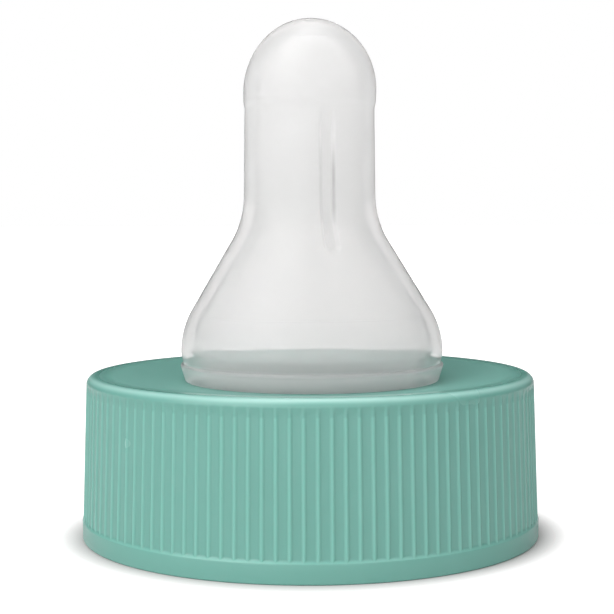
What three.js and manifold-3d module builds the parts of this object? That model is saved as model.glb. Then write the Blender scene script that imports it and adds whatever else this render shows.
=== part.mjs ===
// Screw-on feeding teat: a ribbed screw cap with a soft hollow teat snapped into the hole in its top.
// Millimetres, +Z up, origin on the axis at the cap's open rim. Angles go round from -Y towards +X.
import * as THREE from 'three';
import { mergeVertices } from 'three/addons/utils/BufferGeometryUtils.js';
import Module from 'manifold-3d';

const wasm = await Module();
wasm.setup();

// ---- Driving dimensions: screw cap -------------------------------------------------------------
const CAP_RADIUS = 22.0;            // plain band round the open rim
const CAP_HEIGHT = 15.54;           // open rim to the highest ring of the top
const BAND_HEIGHT = 1.77;
const LEDGE_HEIGHT = 0.42;          // slope from the band up to the foot of the flutes
const RIM_BREAK = 0.2;              // small chamfer under the band

const RIB_COUNT = 115;
const RIB_DEPTH = 0.1;              // crest above the floor of the flutes
const RIB_CREST_FOOT = 21.92;       // crest radius just above the ledge
const RIB_CREST_TOP = 21.49;        // crest radius under the shoulder, after the mould's draft
const RIB_CREST_WIDTH = 0.2;
const RIB_BASE_WIDTH = 0.5;
const FLUTE_TOP = 14.78;            // where the flutes' floor turns out under the shoulder

const SHOULDER_RADIUS = 0.85;
const DISH_DEPTH = 0.66;            // the top face falls this much from the shoulder to the hole
const DISH_RINGS = [[16.5, 0.62], [13.0, 0.1]];   // [radius, share of that depth still left]
const HOLE_RADIUS = 11.6;
const PLATE_UNDERSIDE = 13.5;

const BORE_RADIUS = 19.5;           // root of the internal thread
const MOUTH_RADIUS = 20.2;          // lead-in at the open rim
const MOUTH_DEPTH = 0.7;

const THREAD_CREST_RADIUS = 18.4;
const THREAD_PITCH = 4.2;
const THREAD_TURNS = 1.5;
const THREAD_START = 2.9;           // height of the thread's middle at its first end
const THREAD_ROOT_WIDTH = 1.9;
const THREAD_CREST_WIDTH = 0.8;
const THREAD_BURIED = 0.3;          // how far its root reaches into the wall
const THREAD_FADE_STEPS = 4;        // sections over which each end sinks into the wall
const THREAD_END_FULLNESS = 0.1;

// ---- Driving dimensions: teat ------------------------------------------------------------------
const TOTAL_HEIGHT = 49.45;
const FIT_GAP = 0.3;                // free space between the teat and the cap's top plate
const WALL = 1.3;

const STEM_RADIUS_FOOT = 6.32;
const STEM_RADIUS_TOP = 6.22;
const HEAD_STEP_HEIGHT = 41.2;      // where the stem steps out into the rounded head
const HEAD_STEP_RUN = 0.5;          // height over which it does so
const HEAD_RADIUS = 6.37;
const HEAD_CENTRE = 42.5;           // height of the widest ring of the head
const TIP_WALL = 1.6;
const MILK_HOLE_RADIUS = 0.35;

const BULB_RADIUS = 12.61;
const BULB_CENTRE = 17.6;           // height of the widest ring of the bulb
const BULB_ARC = 7.8;               // radius of the bulb's rounded lower part
const FLARE_ARC = 8.5;              // radius of the hollow curve from bulb to stem
const FLARE_CENTRE = 32.6;

const LIP_FOOT_RADIUS = 12.3;       // snap-in lip that sits on the cap
const LIP_RIDGE_RADIUS = 12.75;
const LIP_RIDGE_HEIGHT = 1.4;       // its widest ring, above the cap's plate
const CREASE_DEPTH = 0.18;

const FLANGE_RADIUS = 17.8;         // soft flange that seals on the bottle's mouth
const FLANGE_THICKNESS = 1.6;

const GROOVE_ANGLE = 15.2;          // groove down the outside of the stem, degrees round from -Y
const GROOVE_WIDTH = 1.3;
const GROOVE_DEPTH = 0.38;
const GROOVE_TOP = 40.2;
const GROOVE_FADE = 2.2;            // height over which it grows shallow at its top
const GROOVE_RUN_ON = 0.6;          // how far it runs on down the straight flare

// ---- Mesh and solid helpers --------------------------------------------------------------------
const FULL_TURN = 2 * Math.PI;
const degrees = THREE.MathUtils.degToRad;

function solidFromGeometry(geometry) {
  const bare = geometry.clone();
  bare.deleteAttribute('normal');
  bare.deleteAttribute('uv');
  const merged = mergeVertices(bare, 1e-5);
  const corners = merged.index.array;
  const kept = [];
  for (let i = 0; i < corners.length; i += 3) {
    const [a, b, c] = [corners[i], corners[i + 1], corners[i + 2]];
    if (a !== b && b !== c && c !== a) kept.push(a, b, c);
  }
  return new wasm.Manifold(new wasm.Mesh({
    numProp: 3,
    vertProperties: new Float32Array(merged.attributes.position.array),
    triVerts: new Uint32Array(kept),
  }));
}

function geometryFromSolid(solid) {
  const mesh = solid.getMesh();
  const geometry = new THREE.BufferGeometry();
  geometry.setAttribute('position', new THREE.BufferAttribute(mesh.vertProperties, 3));
  geometry.setIndex(new THREE.BufferAttribute(mesh.triVerts, 1));
  geometry.computeVertexNormals();
  return geometry;
}

// Turns a closed outline of [radius, height] points into a ring about Z. The outline runs
// anticlockwise, with the axis on its left-hand side.
function turnedRing(outline, segments, startAngle = 0) {
  const closed = [...outline, outline[0]];
  const points = closed.map(([radius, height]) => new THREE.Vector2(radius, height));
  const geometry = new THREE.LatheGeometry(points, segments, startAngle, FULL_TURN);
  return geometry.rotateX(Math.PI / 2);
}

// Points along an arc of the [radius, height] plane, with angles in radians from the outward side.
function arcPoints(centre, radius, from, to, steps) {
  return Array.from({ length: steps + 1 }, (_, i) => {
    const angle = from + ((to - from) * i) / steps;
    return [centre[0] + radius * Math.cos(angle), centre[1] + radius * Math.sin(angle)];
  });
}

function pointAt(angle, radius, height) {
  return new THREE.Vector3(radius * Math.sin(angle), -radius * Math.cos(angle), height);
}

// Closes a run of equal cross-sections, each a list of points in the same order, into one skin.
function skinSections(sections) {
  const count = sections[0].length;
  const positions = sections.flat().flatMap((point) => point.toArray());
  const faces = [];
  for (let s = 0; s < sections.length - 1; s += 1) {
    for (let i = 0; i < count; i += 1) {
      const next = (i + 1) % count;
      const [a, b, c, d] = [s * count + i, s * count + next, (s + 1) * count + i, (s + 1) * count + next];
      faces.push(a, b, d, a, d, c);
    }
  }
  const last = (sections.length - 1) * count;
  for (let i = 1; i < count - 1; i += 1) {
    faces.push(0, i + 1, i);
    faces.push(last, last + i, last + i + 1);
  }
  const geometry = new THREE.BufferGeometry();
  geometry.setAttribute('position', new THREE.Float32BufferAttribute(positions, 3));
  geometry.setIndex(faces);
  return geometry;
}

// ---- Screw cap ---------------------------------------------------------------------------------
// The cap is a stack of rings of points, each joined to the next and the last to the first. Rings
// may hold different numbers of points, so the ribs are fine and the plain bore is coarse.
const RIB_PITCH = FULL_TURN / RIB_COUNT;
const BORE_SIDES = 48;

function evenRing(radius, height, count) {
  const start = count === RIB_COUNT ? RIB_PITCH / 2 : 0;
  return Array.from({ length: count }, (_, i) => {
    const angle = start + (i * FULL_TURN) / count;
    return { angle, point: pointAt(angle, radius, height) };
  });
}

// Four corners for each rib: flute floor, crest, crest, flute floor.
function ribbedRing(crest, floor) {
  return Array.from({ length: RIB_COUNT }, (_, i) => {
    const middle = (i + 0.5) * RIB_PITCH;
    const corner = ([radius, height], width) => {
      const angle = middle + width / (2 * radius);
      return { angle, point: pointAt(angle, radius, height) };
    };
    return [
      corner(floor, -RIB_BASE_WIDTH),
      corner(crest, -RIB_CREST_WIDTH),
      corner(crest, RIB_CREST_WIDTH),
      corner(floor, RIB_BASE_WIDTH),
    ];
  }).flat();
}

// Joins two rings by walking round both and always stepping along the one that is behind.
function joinRings(lower, upper, lowerStart, upperStart) {
  const faces = [];
  const angleAt = (ring, i) => ring[i % ring.length].angle + (i < ring.length ? 0 : FULL_TURN);
  let i = 0;
  let j = 0;
  while (i < lower.length || j < upper.length) {
    const here = lowerStart + (i % lower.length);
    const above = upperStart + (j % upper.length);
    const lowerIsBehind = angleAt(lower, i + 1) <= angleAt(upper, j + 1);
    if (j === upper.length || (i < lower.length && lowerIsBehind)) {
      faces.push(here, lowerStart + ((i + 1) % lower.length), above);
      i += 1;
    } else {
      faces.push(here, upperStart + ((j + 1) % upper.length), above);
      j += 1;
    }
  }
  return faces;
}

function stackedRings(rings) {
  const positions = rings.flat().flatMap(({ point }) => point.toArray());
  const starts = rings.map((_, r) => rings.slice(0, r).flat().length);
  const faces = rings.flatMap((ring, r) => {
    const next = (r + 1) % rings.length;
    return joinRings(ring, rings[next], starts[r], starts[next]);
  });
  const geometry = new THREE.BufferGeometry();
  geometry.setAttribute('position', new THREE.Float32BufferAttribute(positions, 3));
  geometry.setIndex(faces);
  return geometry;
}

function capBody() {
  const floorFoot = RIB_CREST_FOOT - RIB_DEPTH;
  const floorTop = RIB_CREST_TOP - RIB_DEPTH;
  const ledgeSlope = LEDGE_HEIGHT / (CAP_RADIUS - floorFoot);
  const onLedge = (radius) => [radius, BAND_HEIGHT + (CAP_RADIUS - radius) * ledgeSlope];
  const shoulderCentre = [RIB_CREST_TOP - SHOULDER_RADIUS, CAP_HEIGHT - SHOULDER_RADIUS];
  const shoulder = arcPoints(shoulderCentre, SHOULDER_RADIUS, degrees(22), degrees(90), 3);
  const plateTop = CAP_HEIGHT - DISH_DEPTH;
  return solidFromGeometry(stackedRings([
    evenRing(MOUTH_RADIUS, 0, BORE_SIDES),
    evenRing(CAP_RADIUS - RIM_BREAK, 0, RIB_COUNT),
    evenRing(CAP_RADIUS, RIM_BREAK, RIB_COUNT),
    evenRing(CAP_RADIUS, BAND_HEIGHT, RIB_COUNT),
    ribbedRing(onLedge(RIB_CREST_FOOT), onLedge(floorFoot)),
    ribbedRing([RIB_CREST_TOP, shoulderCentre[1]], [floorTop, FLUTE_TOP]),
    ...shoulder.map(([radius, height]) => evenRing(radius, height, RIB_COUNT)),
    ...DISH_RINGS.map(([radius, left], i) => (
      evenRing(radius, plateTop + left * DISH_DEPTH, i === 0 ? RIB_COUNT : BORE_SIDES)
    )),
    evenRing(HOLE_RADIUS, plateTop, BORE_SIDES),
    evenRing(HOLE_RADIUS, PLATE_UNDERSIDE, BORE_SIDES),
    evenRing(BORE_RADIUS, PLATE_UNDERSIDE, BORE_SIDES),
    evenRing(BORE_RADIUS, MOUTH_DEPTH, BORE_SIDES),
  ]));
}

// Internal thread: a trapezoid swept up a helix, sinking into the wall at both of its ends.
function internalThread() {
  const steps = Math.round(THREAD_TURNS * BORE_SIDES);
  const sections = [];
  for (let i = 0; i <= steps; i += 1) {
    const angle = ((i + 0.5) / BORE_SIDES) * FULL_TURN;
    const middle = THREAD_START + (THREAD_PITCH * i) / BORE_SIDES;
    const fullness = Math.min(1, THREAD_END_FULLNESS + Math.min(i, steps - i) / THREAD_FADE_STEPS);
    const crest = BORE_RADIUS - (BORE_RADIUS - THREAD_CREST_RADIUS) * fullness;
    sections.push([
      pointAt(angle, crest, middle - THREAD_CREST_WIDTH / 2),
      pointAt(angle, crest, middle + THREAD_CREST_WIDTH / 2),
      pointAt(angle, BORE_RADIUS + THREAD_BURIED, middle + THREAD_ROOT_WIDTH / 2),
      pointAt(angle, BORE_RADIUS + THREAD_BURIED, middle - THREAD_ROOT_WIDTH / 2),
    ]);
  }
  return solidFromGeometry(skinSections(sections));
}

function screwCap() {
  return capBody().add(internalThread());
}

// ---- Teat --------------------------------------------------------------------------------------
// Bulb arc, straight flare and stem fillet, as one smooth run from the bulb up to the stem. The
// straight flare is the line that touches both arcs, and offset moves the run in from the outside.
function flareRun(offset, arcSteps) {
  const bulbCentre = [BULB_RADIUS - BULB_ARC, BULB_CENTRE];
  const flareCentre = [STEM_RADIUS_FOOT + FLARE_ARC, FLARE_CENTRE];
  const across = flareCentre[0] - bulbCentre[0];
  const up = flareCentre[1] - bulbCentre[1];
  const touch = Math.atan2(up, across) - Math.acos((BULB_ARC + FLARE_ARC) / Math.hypot(across, up));
  return [
    ...arcPoints(bulbCentre, BULB_ARC - offset, 0, touch, arcSteps),
    ...arcPoints(flareCentre, FLARE_ARC + offset, Math.PI + touch, Math.PI, arcSteps),
  ];
}

// Half an ellipse from the head's widest ring up to the rim of the milk hole.
function headRun(radius, apex, steps) {
  const height = apex - HEAD_CENTRE;
  const last = Math.acos(MILK_HOLE_RADIUS / radius);
  return Array.from({ length: steps + 1 }, (_, i) => {
    const angle = (last * i) / steps;
    return [radius * Math.cos(angle), HEAD_CENTRE + height * Math.sin(angle)];
  });
}

function teatShell() {
  const plateTop = CAP_HEIGHT - DISH_DEPTH;
  const flangeTop = PLATE_UNDERSIDE - FIT_GAP;
  const flangeFoot = flangeTop - FLANGE_THICKNESS;
  const neckRadius = HOLE_RADIUS - FIT_GAP;
  const lipFoot = plateTop + FIT_GAP;
  const ridge = plateTop + LIP_RIDGE_HEIGHT;
  const outside = [
    [neckRadius - WALL, flangeFoot],
    [FLANGE_RADIUS, flangeFoot],
    [FLANGE_RADIUS, flangeTop],
    [neckRadius, flangeTop],
    [neckRadius, lipFoot],
    [LIP_FOOT_RADIUS, lipFoot],
    [LIP_RIDGE_RADIUS, ridge],
    [BULB_RADIUS - CREASE_DEPTH, ridge + CREASE_DEPTH],
    [BULB_RADIUS, ridge + 2 * CREASE_DEPTH],
    ...flareRun(0, 4),
    [STEM_RADIUS_TOP, HEAD_STEP_HEIGHT - HEAD_STEP_RUN / 2],
    [HEAD_RADIUS, HEAD_STEP_HEIGHT + HEAD_STEP_RUN / 2],
    ...headRun(HEAD_RADIUS, TOTAL_HEIGHT, 6),
  ];
  const inside = [
    ...headRun(STEM_RADIUS_TOP - WALL, TOTAL_HEIGHT - TIP_WALL, 4).reverse(),
    ...flareRun(WALL, 3).reverse(),
    [neckRadius - WALL, plateTop],
  ];
  return solidFromGeometry(turnedRing([...outside, ...inside], 48));
}

// A round bar along a path of [outward, upward] points in the upright plane at one angle round the
// axis, with half a ball at each of its ends.
function roundBar(path, angle, radius, sides) {
  const points = path.map(([out, up]) => pointAt(angle, out, up));
  const sideways = pointAt(angle + Math.PI / 2, 1, 0);
  const alongAt = (i) => {
    const before = points[Math.max(0, i - 1)];
    const after = points[Math.min(points.length - 1, i + 1)];
    return after.clone().sub(before).normalize();
  };
  const circle = (centre, along, size) => {
    const across = along.clone().cross(sideways);
    return Array.from({ length: sides }, (_, k) => {
      const turn = (k * FULL_TURN) / sides;
      const offset = sideways.clone().multiplyScalar(size * Math.cos(turn));
      return offset.addScaledVector(across, size * Math.sin(turn)).add(centre);
    });
  };
  const ballEnd = (i, sign) => [75, 50, 25].map((latitude) => {
    const along = alongAt(i);
    const centre = points[i].clone().addScaledVector(along, sign * radius * Math.sin(degrees(latitude)));
    return circle(centre, along, radius * Math.cos(degrees(latitude)));
  });
  return solidFromGeometry(skinSections([
    ...ballEnd(0, -1),
    ...points.map((point, i) => circle(point, alongAt(i), radius)),
    ...ballEnd(points.length - 1, 1).reverse(),
  ]));
}

// The bar that cuts the groove lies just outside the stem, follows the flare out for a short way at
// its foot, and leans out of the wall at its top so that the groove runs out softly.
function grooveBar() {
  const radius = (GROOVE_WIDTH ** 2 / 4 + GROOVE_DEPTH ** 2) / (2 * GROOVE_DEPTH);
  const lift = radius - GROOVE_DEPTH;
  const [touch, ...flare] = flareRun(-lift, 4).slice(-5, -1);
  const slope = Math.atan2(touch[0] - flare[0][0], flare[0][1] - touch[1]);
  const foot = [touch[0] + GROOVE_RUN_ON * Math.sin(slope), touch[1] - GROOVE_RUN_ON * Math.cos(slope)];
  const beside = STEM_RADIUS_TOP + lift;
  const path = [foot, touch, ...flare, [beside, GROOVE_TOP - GROOVE_FADE], [beside + GROOVE_DEPTH, GROOVE_TOP]];
  return roundBar(path, degrees(GROOVE_ANGLE), radius, 8);
}

function teat() {
  return teatShell().subtract(grooveBar());
}

// ---- The assembly ------------------------------------------------------------------------------
function namedMesh(name, solid, look) {
  const mesh = new THREE.Mesh(geometryFromSolid(solid), new THREE.MeshStandardMaterial(look));
  mesh.name = name;
  return mesh;
}

const closure = new THREE.Group();
closure.add(namedMesh('screw_cap', screwCap(), { color: 0x7cbfae, roughness: 0.42, metalness: 0 }));
closure.add(namedMesh('teat', teat(), { color: 0xe9ebeb, roughness: 0.32, metalness: 0 }));

export default closure;
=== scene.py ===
"""Screw-on feeding teat: a ribbed mint-green cap with a milky silicone teat snapped into its top.

Shapes are worked out in millimetres, +Z up, with angles going round from -Y towards +X, and are
turned into metres when a mesh is made.
"""

import math

import bpy
from mathutils import Matrix, Vector, noise


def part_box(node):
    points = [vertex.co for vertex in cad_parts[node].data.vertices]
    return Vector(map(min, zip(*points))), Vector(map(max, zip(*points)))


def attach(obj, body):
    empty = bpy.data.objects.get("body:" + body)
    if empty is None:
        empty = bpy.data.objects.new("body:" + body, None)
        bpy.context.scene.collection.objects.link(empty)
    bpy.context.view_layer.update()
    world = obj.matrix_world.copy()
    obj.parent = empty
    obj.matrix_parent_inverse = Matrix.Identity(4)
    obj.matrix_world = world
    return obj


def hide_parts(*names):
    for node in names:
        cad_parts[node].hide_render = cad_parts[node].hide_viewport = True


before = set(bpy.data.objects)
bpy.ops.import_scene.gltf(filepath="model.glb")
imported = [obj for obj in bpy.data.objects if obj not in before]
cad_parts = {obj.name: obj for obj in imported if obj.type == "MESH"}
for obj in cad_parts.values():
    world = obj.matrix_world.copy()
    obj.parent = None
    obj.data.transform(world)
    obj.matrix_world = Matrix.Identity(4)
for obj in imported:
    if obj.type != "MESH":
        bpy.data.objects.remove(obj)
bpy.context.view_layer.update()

MM = 0.001
FULL_TURN = 2 * math.pi

# ---- Sizes, in millimetres -----------------------------------------------------------------------
cap_low, cap_high = (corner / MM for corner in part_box("screw_cap"))
teat_low, teat_high = (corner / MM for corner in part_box("teat"))

CAP_RADIUS = (cap_high.x - cap_low.x) / 2
CAP_FOOT = cap_low.z
CAP_TOP = cap_high.z
BAND_TOP = CAP_FOOT + 1.77
LEDGE_SLOPE = 0.28 / 0.42           # how fast the ledge above the band draws in
RIM_ROUND = 0.2
RIM_WIDTH_INSIDE = 0.2              # the rim's flat ends this far outside the mouth

RIB_COUNT = 115
RIB_DEPTH = 0.12
RIB_DRAFT = 0.43                    # the crests draw in this much on their way up
RIB_STEP = 0.08                     # crests stand in from the band by this much at their foot
FLUTE_HALF_WIDTH = 0.58             # from the middle of a flute to where its side reaches the crest
FLUTE_SIDE = 0.28                   # how wide that rounded side is
FLUTE_HEAD = CAP_TOP - 1.5          # where the flutes begin to grow shallow
FLUTE_FADE = 0.95                   # and the height over which they do

SHOULDER_ROUND = 0.85
SHOULDER_RADIUS = CAP_RADIUS - RIB_STEP - RIB_DRAFT - SHOULDER_ROUND
DISH_DEPTH = 0.78
HOLE_RADIUS = 11.6
HOLE_EDGE_ROUND = 0.15
PLATE_UNDERSIDE = CAP_TOP - 2.04
PLATE_CORNER_ROUND = 0.5            # in the corner between the plate and the bore
PLATE_MIDDLE = 15.5                 # radius of a ring about half-way out on the plate's underside

BORE_RADIUS = 19.5
MOUTH_RADIUS = 20.2
THREAD_CREST_RADIUS = 18.4
THREAD_PITCH = 4.2
THREAD_TURNS = 1.5
THREAD_START = 2.9
THREAD_ROOT_WIDTH = 1.9
THREAD_CREST_WIDTH = 0.8
THREAD_FADE_TURNS = 0.08

TEAT_TIP = teat_high.z
WALL = 1.3
TIP_WALL = 1.6
STEM_RADIUS_FOOT = 6.32
STEM_RADIUS_TOP = 6.22
STEP_HEIGHT = 41.1                  # where the stem steps out into the head
HEAD_RADIUS = 6.37
HEAD_CENTRE = 42.5
MILK_HOLE_RADIUS = 0.35
BULB_RADIUS = 12.61
BULB_CENTRE = 17.6
BULB_ARC = 7.8
FLARE_ARC = 8.5
FLARE_CENTRE = 32.6
LIP_FOOT = CAP_TOP - DISH_DEPTH + 0.05
LIP_FOOT_RADIUS = 12.28
LIP_RIDGE_RADIUS = 12.68
LIP_RIDGE = 16.28
CREASE = 16.58
CREASE_RADIUS = 12.44
NECK_RADIUS = 11.3
FLANGE_RADIUS = (teat_high.x - teat_low.x) / 2
FLANGE_UNDERSIDE = teat_low.z
FLANGE_THICKNESS = 1.6
FLANGE_TOP = FLANGE_UNDERSIDE + FLANGE_THICKNESS
FLANGE_ROUND = 0.4

# The soft teat stands off the axis, to the right, by these amounts.
SEAT_OFFSET = 0.19
STEM_OFFSET = 0.02
TIP_OFFSET = 0.14
SEAT_RUN = 1.6                      # it reaches the seat's offset over this height above the flange
LEAN_FROM, LEAN_RUN = 16.5, 14      # the height where it leaves the seat's offset, and how far that takes
NOD_FROM, NOD_RUN = STEP_HEIGHT - 2, 8

GROOVE_ANGLE = math.radians(15.2)
GROOVE_HALF_WIDTH = 0.82
GROOVE_DEPTH = 0.36
GROOVE_SIDE = 0.42                  # width of its rounded sides
GROOVE_FOOT = 27.95
GROOVE_TOP = 39.7
GROOVE_RUN_OUT = 2.6                # it grows shallow over this length at its top

MOULD_LINES = (21.2, 47.35)         # heights of the faint lines where the mould's parts met
MOULD_LINE_WIDTH = 0.09

# The painted shade along the groove's walls: how strong and how wide it is on each, and how it fades at the
# ends.
LEFT_WALL_SHADE, LEFT_WALL_SHADE_WIDTH = 0.4, 0.26
RIGHT_WALL_SHADE, RIGHT_WALL_SHADE_WIDTH = 1.0, 0.28
GROOVE_SHADE_FOOT, GROOVE_SHADE_FOOT_FADE = GROOVE_FOOT + 0.8, 3
GROOVE_SHADE_TOP, GROOVE_SHADE_TOP_FADE = GROOVE_TOP - 1.5, 4

# The painted highlight along the cap's shoulder: degrees round the shoulder from its top, and its half
# width.
SHOULDER_HIGHLIGHT_TURN, SHOULDER_HIGHLIGHT_SPREAD = 36, 36


# ---- Small helpers -------------------------------------------------------------------------------
def smooth(share):
    share = max(0.0, min(1.0, share))
    return share * share * (3 - 2 * share)


def spread(start, end, steps):
    """steps + 1 even values from start to end."""
    return [start + (end - start) * i / steps for i in range(steps + 1)]


def arc(centre, radius, start, end, steps):
    """[radius, height] points along an arc, with angles in degrees from the outward side."""
    angles = [math.radians(a) for a in spread(start, end, steps)]
    return [(centre[0] + radius * math.cos(a), centre[1] + radius * math.sin(a)) for a in angles]


def resampled(outline, step):
    """The same outline with no gap longer than step."""
    points = [outline[0]]
    for (r0, z0), (r1, z1) in zip(outline, outline[1:]):
        pieces = max(1, math.ceil(math.hypot(r1 - r0, z1 - z0) / step))
        for i in range(1, pieces + 1):
            points.append((r0 + (r1 - r0) * i / pieces, z0 + (z1 - z0) * i / pieces))
    return points


def point_at(angle, radius, height):
    return (radius * math.sin(angle) * MM, -radius * math.cos(angle) * MM, height * MM)


def closed_skin(name, rings):
    """A mesh from closed rings of points, each joined to the next and the last to the first.

    Neighbouring rings have the same number of points, or one has a whole multiple of the other's.
    """
    vertices = [point for ring in rings for point in ring]
    starts = [0]
    for ring in rings:
        starts.append(starts[-1] + len(ring))
    faces = []
    for r, ring in enumerate(rings):
        after = (r + 1) % len(rings)
        count, next_count = len(ring), len(rings[after])
        sides = min(count, next_count)
        here_each, next_each = count // sides, next_count // sides
        for i in range(sides):
            here = [starts[r] + (i * here_each + k) % count for k in range(here_each + 1)]
            there = [starts[after] + (i * next_each + k) % next_count for k in range(next_each + 1)]
            faces.append(here + there[::-1])
    mesh = bpy.data.meshes.new(name)
    mesh.from_pydata(vertices, [], faces)
    mesh.shade_smooth()
    mesh.update()
    piece = bpy.data.objects.new(name, mesh)
    bpy.context.scene.collection.objects.link(piece)
    return piece


# ---- Screw cap -----------------------------------------------------------------------------------
RIB_PITCH = FULL_TURN / RIB_COUNT
COLUMN_SHARES = (0.0, 0.24, 0.29, 0.33, 0.37, 0.41, 0.45, 0.5)   # of the pitch, from a flute's middle


def rib_columns():
    """(angle, distance round from the nearest flute's middle) for every column of the ribbed wall."""
    shares = [-s for s in COLUMN_SHARES[-2:0:-1]] + list(COLUMN_SHARES)
    pitch_length = RIB_PITCH * (CAP_RADIUS - RIB_DEPTH)
    return [((rib + s) * RIB_PITCH, s * pitch_length) for rib in range(RIB_COUNT) for s in shares]


def crest_radius(height):
    """Radius of the ribs' crests, which draw in towards the shoulder."""
    share = (height - BAND_TOP) / (CAP_TOP - SHOULDER_ROUND - BAND_TOP)
    return CAP_RADIUS - RIB_STEP - RIB_DRAFT * share


def flute_depth(angle, across, height):
    """How deep the wall lies below the crests, with the small unevenness of a worn mould."""
    drift = 0.025 * noise.noise(Vector((math.sin(angle) * 9, math.cos(angle) * 9, height * 0.12)))
    across += drift
    inside = FLUTE_HALF_WIDTH - abs(across)
    fading = 1 - smooth((height - FLUTE_HEAD) / FLUTE_FADE)
    return RIB_DEPTH * smooth(inside / FLUTE_SIDE) * fading


def ribbed_ring(columns, crest, height):
    ledge = CAP_RADIUS - max(0.0, height - BAND_TOP) * LEDGE_SLOPE
    ring = []
    for angle, across in columns:
        wall = crest - flute_depth(angle, across, height)
        ring.append(point_at(angle, max(wall, ledge), height))
    return ring


def thread_radius(angle, height):
    """Radius of the bore's wall with its internal thread."""
    best = BORE_RADIUS
    for turn in range(math.ceil(THREAD_TURNS) + 1):
        turns = angle / FULL_TURN + turn
        if turns > THREAD_TURNS:
            break
        ends = min(turns, THREAD_TURNS - turns) / THREAD_FADE_TURNS
        off = abs(height - THREAD_START - THREAD_PITCH * turns)
        flank = (THREAD_ROOT_WIDTH - THREAD_CREST_WIDTH) / 2
        share = smooth((THREAD_ROOT_WIDTH / 2 - off) / flank) * smooth(ends)
        best = min(best, BORE_RADIUS - (BORE_RADIUS - THREAD_CREST_RADIUS) * share)
    return best


def dish_height(radius):
    share = (radius - HOLE_RADIUS) / (SHOULDER_RADIUS - HOLE_RADIUS)
    return CAP_TOP - DISH_DEPTH * (1 - smooth(share))


def make_screw_cap():
    columns = rib_columns()
    angles = [angle for angle, _ in columns]
    few = angles[::7]

    def plain(radius, height, ring=angles):
        return [point_at(angle, radius, height) for angle in ring]

    rings = [plain(MOUTH_RADIUS + RIM_WIDTH_INSIDE, CAP_FOOT, few)]
    rim = arc((CAP_RADIUS - RIM_ROUND, CAP_FOOT + RIM_ROUND), RIM_ROUND, -90, 0, 5)
    rings += [plain(r, z) for r, z in rim]
    rings += [plain(CAP_RADIUS, z) for z in (0.9, BAND_TOP - 0.1)]
    rings.append(plain(CAP_RADIUS - 0.02, BAND_TOP))

    flute_foot = BAND_TOP + 0.75
    shoulder_foot = CAP_TOP - SHOULDER_ROUND
    heights = spread(BAND_TOP + 0.05, flute_foot, 14) + spread(flute_foot, FLUTE_HEAD - 0.2, 18)[1:]
    heights += spread(FLUTE_HEAD - 0.2, shoulder_foot, 4)[1:]
    rings += [ribbed_ring(columns, crest_radius(z), z) for z in heights]
    shoulder = arc((SHOULDER_RADIUS, shoulder_foot), SHOULDER_ROUND, 4, 90, 22)
    rings += [ribbed_ring(columns, r, z) for r, z in shoulder]

    dish = spread(SHOULDER_RADIUS, HOLE_RADIUS + 0.3, 14)[1:]
    rings += [plain(r, dish_height(r)) for r in dish[:-1]]
    rings.append(plain(dish[-1], dish_height(dish[-1]), few))

    plate_top = CAP_TOP - DISH_DEPTH
    edge_centre = HOLE_RADIUS + HOLE_EDGE_ROUND
    hole = arc((edge_centre, plate_top - HOLE_EDGE_ROUND), HOLE_EDGE_ROUND, 90, 180, 4)
    hole += [(HOLE_RADIUS, PLATE_UNDERSIDE + HOLE_EDGE_ROUND)]
    hole += arc((edge_centre, PLATE_UNDERSIDE + HOLE_EDGE_ROUND), HOLE_EDGE_ROUND, 200, 270, 3)
    hole += [(PLATE_MIDDLE, PLATE_UNDERSIDE)]
    corner = (BORE_RADIUS - PLATE_CORNER_ROUND, PLATE_UNDERSIDE - PLATE_CORNER_ROUND)
    hole += arc(corner, PLATE_CORNER_ROUND, 90, 10, 5)
    rings += [plain(r, z, few) for r, z in hole]
    for z in spread(PLATE_UNDERSIDE - 0.6, 0.9, 74):
        rings.append([point_at(angle, thread_radius(angle, z), z) for angle in few])
    rings += [plain(BORE_RADIUS, 0.7, few), plain(MOUTH_RADIUS, 0.12, few)]
    piece = closed_skin("ribbed_screw_cap", rings)
    mark_painted_highlights(piece.data)
    return piece


def mark_painted_highlights(mesh):
    """Stores painted highlights: "crest" on the ribs' crests, and a line along the shoulder.

    Both are paler colour standing in for light; the shoulder's line makes up part of a highlight that the
    lights alone leave too weak.
    """
    crest = mesh.attributes.new("crest", "FLOAT", "POINT")
    shoulder_highlight = mesh.attributes.new("shoulder_highlight", "FLOAT", "POINT")
    for vertex, crest_highlight_mark, shoulder_highlight_mark in zip(mesh.vertices, crest.data, shoulder_highlight.data):
        radius, height = math.hypot(vertex.co.x, vertex.co.y) / MM, vertex.co.z / MM
        # Painted highlight on the ribs' crests.
        if BAND_TOP < height < FLUTE_HEAD and radius > BORE_RADIUS + 1:
            crest_highlight_mark.value = smooth(1 - (crest_radius(height) - radius) / RIB_DEPTH)
        # Painted highlight in a line round the shoulder.
        above, beyond = height - (CAP_TOP - SHOULDER_ROUND), radius - SHOULDER_RADIUS
        if above > 0 and beyond > 0:
            turned = math.degrees(math.atan2(beyond, above))
            shoulder_highlight_mark.value = smooth(1 - abs(turned - SHOULDER_HIGHLIGHT_TURN) / SHOULDER_HIGHLIGHT_SPREAD)


# ---- Teat ----------------------------------------------------------------------------------------
def flare_run(offset, steps):
    """Bulb arc and stem fillet, which the straight flare joins, moved in from the outside by offset."""
    bulb = (BULB_RADIUS - BULB_ARC, BULB_CENTRE)
    stem = (STEM_RADIUS_FOOT + FLARE_ARC, FLARE_CENTRE)
    across, up = stem[0] - bulb[0], stem[1] - bulb[1]
    beside_line = math.acos((BULB_ARC + FLARE_ARC) / math.hypot(across, up))
    touch = math.degrees(math.atan2(up, across) - beside_line)
    return [
        *arc(bulb, BULB_ARC - offset, 0, touch, steps),
        *arc(stem, FLARE_ARC + offset, 180 + touch, 180, steps),
    ]


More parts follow.
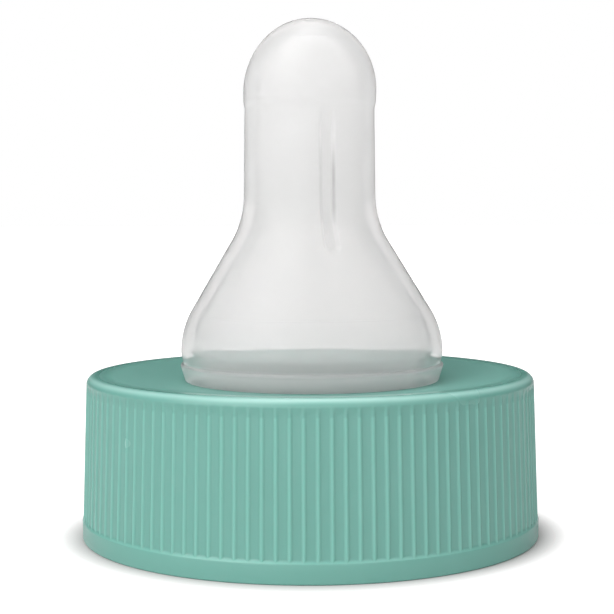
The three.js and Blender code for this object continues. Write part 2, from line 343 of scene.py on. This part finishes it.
def head_run(radius, apex, steps):
    """Half an ellipse from the head's widest ring up to the rim of the milk hole."""
    last = math.acos(MILK_HOLE_RADIUS / radius)
    angles = spread(0, last, steps)
    return [(radius * math.cos(a), HEAD_CENTRE + (apex - HEAD_CENTRE) * math.sin(a)) for a in angles]


def outer_outline():
    flange_edge = FLANGE_RADIUS - FLANGE_ROUND
    neck_fillet = (NECK_RADIUS + FLANGE_ROUND, FLANGE_TOP + FLANGE_ROUND)
    outline = [(NECK_RADIUS - WALL + 0.2, FLANGE_UNDERSIDE)]
    outline += arc((flange_edge, FLANGE_UNDERSIDE + FLANGE_ROUND), FLANGE_ROUND, -90, 0, 5)
    outline += arc((flange_edge, FLANGE_TOP - FLANGE_ROUND), FLANGE_ROUND, 0, 90, 5)
    outline += arc(neck_fillet, FLANGE_ROUND, 270, 180, 4)
    outline += [(NECK_RADIUS, LIP_FOOT - 0.1), (NECK_RADIUS + 0.1, LIP_FOOT)]
    outline += arc((LIP_FOOT_RADIUS - 0.15, LIP_FOOT + 0.15), 0.15, -90, -15, 4)
    outline += arc((LIP_RIDGE_RADIUS - 0.25, LIP_RIDGE), 0.25, -20, 62, 6)
    outline += arc((CREASE_RADIUS + 0.12, CREASE), 0.12, 235, 150, 5)
    outline += flare_run(0, 16)
    outline += [(STEM_RADIUS_TOP, STEP_HEIGHT - 0.25), (STEM_RADIUS_TOP + 0.03, STEP_HEIGHT - 0.05)]
    outline += [(HEAD_RADIUS - 0.06, STEP_HEIGHT + 0.2), (HEAD_RADIUS - 0.02, STEP_HEIGHT + 0.45)]
    outline += head_run(HEAD_RADIUS, TEAT_TIP, 30)
    return resampled(outline, 0.25)


def inner_outline():
    outline = head_run(STEM_RADIUS_TOP - WALL, TEAT_TIP - TIP_WALL, 18)[::-1]
    outline += flare_run(WALL, 14)[::-1]
    outline += [(NECK_RADIUS - WALL + 0.15, 16.0), (NECK_RADIUS - WALL, 15.0)]
    outline += [(NECK_RADIUS - WALL, FLANGE_UNDERSIDE + 0.2)]
    return resampled(outline, 0.5)


def groove_depth(angle, radius, height):
    """Depth of the groove down the outside of the stem: steep round foot, soft run-out at the top."""
    across = math.remainder(angle - GROOVE_ANGLE, FULL_TURN) * radius
    below = min(0.0, height - GROOVE_FOOT)
    inside = GROOVE_HALF_WIDTH - math.hypot(across, below)
    fading = 1 - smooth((height - GROOVE_TOP + GROOVE_RUN_OUT / 2) / GROOVE_RUN_OUT)
    return GROOVE_DEPTH * smooth(inside / GROOVE_SIDE) * fading


def teat_angles():
    """Columns round the teat, finer across the groove."""
    fine_from, fine_to = GROOVE_ANGLE - math.radians(10), GROOVE_ANGLE + math.radians(10)
    fine = spread(fine_from, fine_to, 50)
    coarse = spread(fine_to, fine_from + FULL_TURN, 230)[1:-1]
    return fine + coarse


def lean(height):
    """How far the soft teat stands off the axis, to the right, at a height."""
    seated = SEAT_OFFSET * smooth((height - FLANGE_TOP) / SEAT_RUN)
    leaning = (STEM_OFFSET - SEAT_OFFSET) * smooth((height - LEAN_FROM) / LEAN_RUN)
    nodding = (TIP_OFFSET - STEM_OFFSET) * smooth((height - NOD_FROM) / NOD_RUN)
    return seated + leaning + nodding


def make_teat():
    angles = teat_angles()
    outer = outer_outline()
    rings = []
    for radius, height in outer:
        grooved = GROOVE_FOOT - 1 < height < GROOVE_TOP + GROOVE_RUN_OUT
        ring = []
        for angle in angles:
            depth = groove_depth(angle, radius, height) if grooved else 0.0
            ring.append(point_at(angle, radius - depth, height))
        rings.append(ring)
    rings += [[point_at(angle, r, z) for angle in angles] for r, z in inner_outline()]
    piece = closed_skin("silicone_teat", rings)
    mark_groove_shade(piece.data, len(outer) * len(angles))
    for vertex in piece.data.vertices:
        vertex.co.x += lean(vertex.co.z / MM) * MM
    return piece


def mark_groove_shade(mesh, outer_count):
    """Stores painted shade along the groove's walls as a point attribute, on the first outer_count
    vertices, the outside.

    The grey is painted shade standing in for the dark lines there, which are probably light bending in the
    silicone.
    """
    groove_shade = mesh.attributes.new("groove_shade", "FLOAT", "POINT")
    wall = GROOVE_HALF_WIDTH - GROOVE_SIDE / 2
    for index in range(outer_count):
        place = mesh.vertices[index].co / MM
        if not GROOVE_FOOT < place.z < GROOVE_TOP or place.y > 0:
            continue
        turned = math.remainder(math.atan2(place.x, -place.y) - GROOVE_ANGLE, FULL_TURN)
        across = turned * math.hypot(place.x, place.y)
        left = LEFT_WALL_SHADE * smooth(1 - abs(across + wall) / LEFT_WALL_SHADE_WIDTH)
        right = RIGHT_WALL_SHADE * smooth(1 - abs(across - wall) / RIGHT_WALL_SHADE_WIDTH)
        ends = smooth((place.z - GROOVE_SHADE_FOOT) / GROOVE_SHADE_FOOT_FADE) * smooth((GROOVE_SHADE_TOP - place.z) / GROOVE_SHADE_TOP_FADE)
        groove_shade.data[index].value = (left + right) * ends


# ---- Materials -----------------------------------------------------------------------------------
# Colours are linear red, green, blue and alpha. Places and distances in materials are in metres.
MINT_DARK = (0.160, 0.385, 0.330, 1)
MINT_LIGHT = (0.178, 0.412, 0.356, 1)
# Painted highlight on the ribs' crests.
MINT_CREST_HIGHLIGHT = (0.200, 0.465, 0.400, 1)
# Painted shade darkening the flat of the top.
MINT_TOP_SHADE = (0.135, 0.332, 0.284, 1)
# Painted highlight along the shoulder.
MINT_SHOULDER_HIGHLIGHT = (0.345, 0.600, 0.545, 1)
TOP_SHADE_ENDS = (0.0182, 0.0206)      # the top's painted shade fades out between these radii
TOP_MATT_ENDS = (0.0186, 0.0204)        # and its matt surface between these
TOP_ROUGHNESS, SIDE_ROUGHNESS = 0.62, 0.25
CAP_GRAIN_DEPTH = 0.0000015

MILKY_DARK = (0.93, 0.925, 0.92, 1)
MILKY_LIGHT = (0.965, 0.96, 0.96, 1)
# Painted shade along the groove's walls.
GROOVE_SHADE_COLOUR = (0.52, 0.52, 0.52, 1)
TEAT_GRAIN_DEPTH = 0.000002
MOULD_LINE_GRAINS = 4.0                 # a mould line stands up as far as this many depths of grain
CLEARER_ABOVE_LIP = (0.0160, 0.0168)    # heights between which the silicone turns clearer
LIP_CLEARNESS, BULB_CLEARNESS = 0.58, 0.72

NOISE_TURN = (0.6, 0.4, 0.9)            # radians about each axis
RANGE_KEYS = ("From Min", "From Max", "To Min", "To Max")


class Nodes:
    """Short calls for a material's node tree."""

    def __init__(self, name):
        self.material = bpy.data.materials.new(name)
        self.material.use_nodes = True
        self.tree = self.material.node_tree
        self.shader = self.tree.nodes["Principled BSDF"]
        self.place = self.add("ShaderNodeTexCoord").outputs["Object"]

    def add(self, kind, **settings):
        node = self.tree.nodes.new(kind)
        for key, value in settings.items():
            setattr(node, key, value)
        return node

    def link(self, source, target):
        self.tree.links.new(source, target)

    def feed(self, value, target):
        """Links value to target if it comes from a node, and sets it there if it is plain."""
        if isinstance(value, bpy.types.NodeSocket):
            self.link(value, target)
        else:
            target.default_value = value

    def attribute(self, name):
        return self.add("ShaderNodeAttribute", attribute_name=name).outputs["Fac"]

    def maths(self, operation, *values):
        node = self.add("ShaderNodeMath", operation=operation)
        for value, target in zip(values, node.inputs):
            self.feed(value, target)
        return node.outputs["Value"]

    def length(self, vector):
        node = self.add("ShaderNodeVectorMath", operation="LENGTH")
        self.link(vector, node.inputs[0])
        return node.outputs["Value"]

    def turned_place(self):
        """The place turned off the axes, so that no noise lines up with the walls."""
        mapping = self.add("ShaderNodeMapping")
        mapping.inputs["Rotation"].default_value = NOISE_TURN
        self.link(self.place, mapping.inputs["Vector"])
        return mapping.outputs["Vector"]

    def noise(self, scale, detail, distortion=0.0):
        node = self.add("ShaderNodeTexNoise")
        node.inputs["Scale"].default_value = scale
        node.inputs["Detail"].default_value = detail
        node.inputs["Distortion"].default_value = distortion
        self.link(self.turned_place(), node.inputs["Vector"])
        return node.outputs["Fac"]

    def ranged(self, value, low, high, to_low, to_high):
        node = self.add("ShaderNodeMapRange")
        for key, number in zip(RANGE_KEYS, (low, high, to_low, to_high)):
            node.inputs[key].default_value = number
        self.link(value, node.inputs["Value"])
        return node.outputs["Result"]

    def noise_share(self, value, to_low=0, to_high=1):
        """Noise keeps mostly between 0.3 and 0.7, which this stretches to the given range."""
        return self.ranged(value, 0.3, 0.7, to_low, to_high)

    def mix(self, share, first, second):
        node = self.add("ShaderNodeMix", data_type="RGBA")
        for name, kind, value in (("Factor", "VALUE", share), ("A", "RGBA", first), ("B", "RGBA", second)):
            self.feed(value, next(s for s in node.inputs if s.name == name and s.type == kind))
        return next(s for s in node.outputs if s.type == "RGBA")

    def bump(self, height, distance):
        node = self.add("ShaderNodeBump")
        node.inputs["Distance"].default_value = distance
        node.inputs["Strength"].default_value = 1.0
        self.link(height, node.inputs["Height"])
        self.link(node.outputs["Normal"], self.shader.inputs["Normal"])


def cap_plastic():
    """Mint plastic: satin on the ribs and shoulder and matt on the flat of the top, with painted shade
    darkening the top and painted highlights on the ribs' crests and along the shoulder.
    """
    nodes = Nodes("mint_cap_plastic")
    shader = nodes.shader
    cloud = nodes.noise(60, 3)
    flattened = nodes.add("ShaderNodeVectorMath", operation="MULTIPLY")
    flattened.inputs[1].default_value = (1, 1, 0)
    nodes.link(nodes.place, flattened.inputs[0])
    outward = nodes.length(flattened.outputs["Vector"])
    colour = nodes.mix(nodes.noise_share(cloud), MINT_DARK, MINT_LIGHT)
    # Paler colour on the ribs' crests: a painted highlight.
    colour = nodes.mix(nodes.attribute("crest"), colour, MINT_CREST_HIGHLIGHT)
    # Darker colour on the flat of the top: painted shade.
    colour = nodes.mix(nodes.ranged(outward, *TOP_SHADE_ENDS, 1, 0), colour, MINT_TOP_SHADE)
    # Paler line along the shoulder: a painted highlight.
    colour = nodes.mix(nodes.attribute("shoulder_highlight"), colour, MINT_SHOULDER_HIGHLIGHT)
    nodes.link(colour, shader.inputs["Base Color"])
    matt = nodes.ranged(outward, *TOP_MATT_ENDS, TOP_ROUGHNESS, SIDE_ROUGHNESS)
    rough = nodes.maths("ADD", matt, nodes.noise_share(cloud, -0.03, 0.03))
    nodes.link(rough, shader.inputs["Roughness"])
    nodes.bump(nodes.noise(3300, 2, 1.5), CAP_GRAIN_DEPTH)
    shader.inputs["Subsurface Weight"].default_value = 0.5
    shader.inputs["Subsurface Radius"].default_value = (0.7, 1.0, 0.9)
    shader.inputs["Subsurface Scale"].default_value = 0.0008
    return nodes.material


def teat_silicone():
    """Milky silicone: a hazy see-through body that bends light little, under a soft glossy coat."""
    nodes = Nodes("milky_silicone")
    shader = nodes.shader
    haze = nodes.noise(120, 3)
    colour = nodes.mix(nodes.noise_share(haze), MILKY_DARK, MILKY_LIGHT)
    # Grey along the groove's walls: painted shade.
    colour = nodes.mix(nodes.attribute("groove_shade"), colour, GROOVE_SHADE_COLOUR)
    nodes.link(colour, shader.inputs["Base Color"])
    grain = nodes.noise(700, 2)
    nodes.link(nodes.noise_share(grain, 0.09, 0.14), shader.inputs["Roughness"])
    parts = nodes.add("ShaderNodeSeparateXYZ")
    nodes.link(nodes.place, parts.inputs["Vector"])
    height = parts.outputs["Z"]
    relief = grain
    for line in MOULD_LINES:
        on_line = nodes.maths("COMPARE", height, line * MM, MOULD_LINE_WIDTH / 2 * MM)
        relief = nodes.maths("MULTIPLY_ADD", on_line, MOULD_LINE_GRAINS, relief)
    nodes.bump(relief, TEAT_GRAIN_DEPTH)
    clearness = nodes.ranged(height, *CLEARER_ABOVE_LIP, LIP_CLEARNESS, BULB_CLEARNESS)
    nodes.link(clearness, shader.inputs["Transmission Weight"])
    shader.inputs["IOR"].default_value = 1.04
    shader.inputs["Coat Weight"].default_value = 1.0
    shader.inputs["Coat Roughness"].default_value = 0.38
    shader.inputs["Coat IOR"].default_value = 1.41
    shader.inputs["Subsurface Weight"].default_value = 1.0
    shader.inputs["Subsurface Radius"].default_value = (1.0, 1.0, 1.0)
    shader.inputs["Subsurface Scale"].default_value = 0.006
    return nodes.material


# ---- Floor, light and camera ---------------------------------------------------------------------
FLOOR_GREY = (0.68, 0.68, 0.68, 1)
FLOOR_SEEN = (0.65, 0.62, 0.62, 1)      # what the camera sees, warmed against the cap's green cast
FLOOR_LIFT = (0.0, 0.65)                # how much the floor is lifted for the camera, at the rim and away
FLOOR_LIFT_FROM = (0.0221, 0.0250)      # metres from the axis at which that lift starts and is whole
LIFT_THROUGH_TEAT = 0.65                # share of that lift for the floor seen through the teat
SEEN_THROUGH_TEAT = (0.68, 1.62)        # brightness of the backdrop seen through the teat, low to high
BACKDROP_HEIGHTS = (-0.2, 1.0)          # upward part of the view directions that those two are for

# Soft round lights of the studio as (azimuth, elevation, half width, brightness), with angles in
# degrees. Azimuth 0 is on the camera's side and 90 is to its right.
SOFT_LIGHTS = (
    (0, 8, 42, 1.40),
    (45, 8, 42, 0.42),
    (135, 8, 42, 0.15),
    (-45, 8, 42, 1.52),
    (-50, 40, 36, 1.95),
    (50, 40, 36, 0.78),
    (-60, 70, 24, 2.9),
    (60, 70, 24, 1.3),
    (180, 72, 20, 3.6),
)


def make_floor():
    """A plain pale floor, lifted to white away from the rim for the camera, and less through the teat."""
    mesh = bpy.data.meshes.new("floor")
    reach = 3.0
    corners = [(-reach, -reach, 0), (reach, -reach, 0), (reach, reach, 0), (-reach, reach, 0)]
    mesh.from_pydata(corners, [], [(0, 1, 2, 3)])
    floor = bpy.data.objects.new("floor", mesh)
    bpy.context.scene.collection.objects.link(floor)
    nodes = Nodes("pale_floor")
    nodes.shader.inputs["Roughness"].default_value = 0.9
    nodes.shader.inputs["Emission Color"].default_value = (1, 1, 1, 1)
    lift = nodes.ranged(nodes.length(nodes.place), *FLOOR_LIFT_FROM, *FLOOR_LIFT)
    path = nodes.add("ShaderNodeLightPath")
    by_camera, through_teat = path.outputs["Is Camera Ray"], path.outputs["Is Transmission Ray"]
    seen = nodes.maths("MULTIPLY_ADD", through_teat, LIFT_THROUGH_TEAT, by_camera)
    nodes.link(nodes.maths("MULTIPLY", seen, lift), nodes.shader.inputs["Emission Strength"])
    nodes.link(nodes.mix(seen, FLOOR_GREY, FLOOR_SEEN), nodes.shader.inputs["Base Color"])
    mesh.materials.append(nodes.material)


def light_direction(azimuth, elevation):
    around, up = math.radians(azimuth), math.radians(elevation)
    return (math.sin(around) * math.cos(up), -math.cos(around) * math.cos(up), math.sin(up))


def make_world():
    """The soft lights above, plain white for the camera, and a brightness of its own through the teat."""
    world = bpy.data.worlds.new("studio")
    world.use_nodes = True
    tree = world.node_tree
    background = tree.nodes["Background"]
    background.inputs["Color"].default_value = (1, 1, 1, 1)
    place = tree.nodes.new("ShaderNodeTexCoord")
    total = None
    for azimuth, elevation, half_width, brightness in SOFT_LIGHTS:
        near = tree.nodes.new("ShaderNodeVectorMath")
        near.operation = "DOT_PRODUCT"
        near.inputs[1].default_value = light_direction(azimuth, elevation)
        tree.links.new(place.outputs["Generated"], near.inputs[0])
        glow = tree.nodes.new("ShaderNodeMapRange")
        glow.interpolation_type = "SMOOTHSTEP"
        glow.inputs["From Min"].default_value = math.cos(math.radians(half_width))
        glow.inputs["From Max"].default_value = math.cos(math.radians(half_width / 5))
        glow.inputs["To Max"].default_value = brightness
        tree.links.new(near.outputs["Value"], glow.inputs["Value"])
        if total is None:
            total = glow.outputs["Result"]
            continue
        both = tree.nodes.new("ShaderNodeMath")
        tree.links.new(total, both.inputs[0])
        tree.links.new(glow.outputs["Result"], both.inputs[1])
        total = both.outputs["Value"]
    path = tree.nodes.new("ShaderNodeLightPath")
    parts = tree.nodes.new("ShaderNodeSeparateXYZ")
    tree.links.new(place.outputs["Generated"], parts.inputs["Vector"])
    ceiling = tree.nodes.new("ShaderNodeMapRange")
    for key, number in zip(RANGE_KEYS, (*BACKDROP_HEIGHTS, *SEEN_THROUGH_TEAT)):
        ceiling.inputs[key].default_value = number
    tree.links.new(parts.outputs["Z"], ceiling.inputs["Value"])
    for kind, strength in (("Is Transmission Ray", ceiling.outputs["Result"]), ("Is Camera Ray", None)):
        chosen = tree.nodes.new("ShaderNodeMix")
        tree.links.new(path.outputs[kind], chosen.inputs["Factor"])
        tree.links.new(total, chosen.inputs["A"])
        if strength is None:
            chosen.inputs["B"].default_value = 1.0
        else:
            tree.links.new(strength, chosen.inputs["B"])
        total = chosen.outputs["Result"]
    tree.links.new(total, background.inputs["Strength"])
    bpy.context.scene.world = world


CAMERA_PLACE = (-0.000275, -0.143996, 0.030973)
CAMERA_LENS = 87.43
CAMERA_DOWN = 0.0636                    # radians below the horizon
CAMERA_ROLL = -0.0036


def make_camera():
    camera = bpy.data.cameras.new("camera")
    camera.sensor_width = 36
    camera.lens = CAMERA_LENS
    camera.clip_start = 0.001
    holder = bpy.data.objects.new("camera", camera)
    place = Matrix.Translation(CAMERA_PLACE)
    pitch = Matrix.Rotation(math.pi / 2 - CAMERA_DOWN, 4, "X")
    roll = Matrix.Rotation(CAMERA_ROLL, 4, "Z")
    holder.matrix_world = place @ pitch @ roll
    bpy.context.scene.collection.objects.link(holder)
    bpy.context.scene.camera = holder


make_camera()
make_floor()
make_world()
bpy.context.scene.view_settings.view_transform = "Standard"

screw_cap = make_screw_cap()
screw_cap.data.materials.append(cap_plastic())
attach(screw_cap, "cap")
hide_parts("screw_cap")

teat = make_teat()
teat.data.materials.append(teat_silicone())
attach(teat, "teat")
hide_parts("teat")
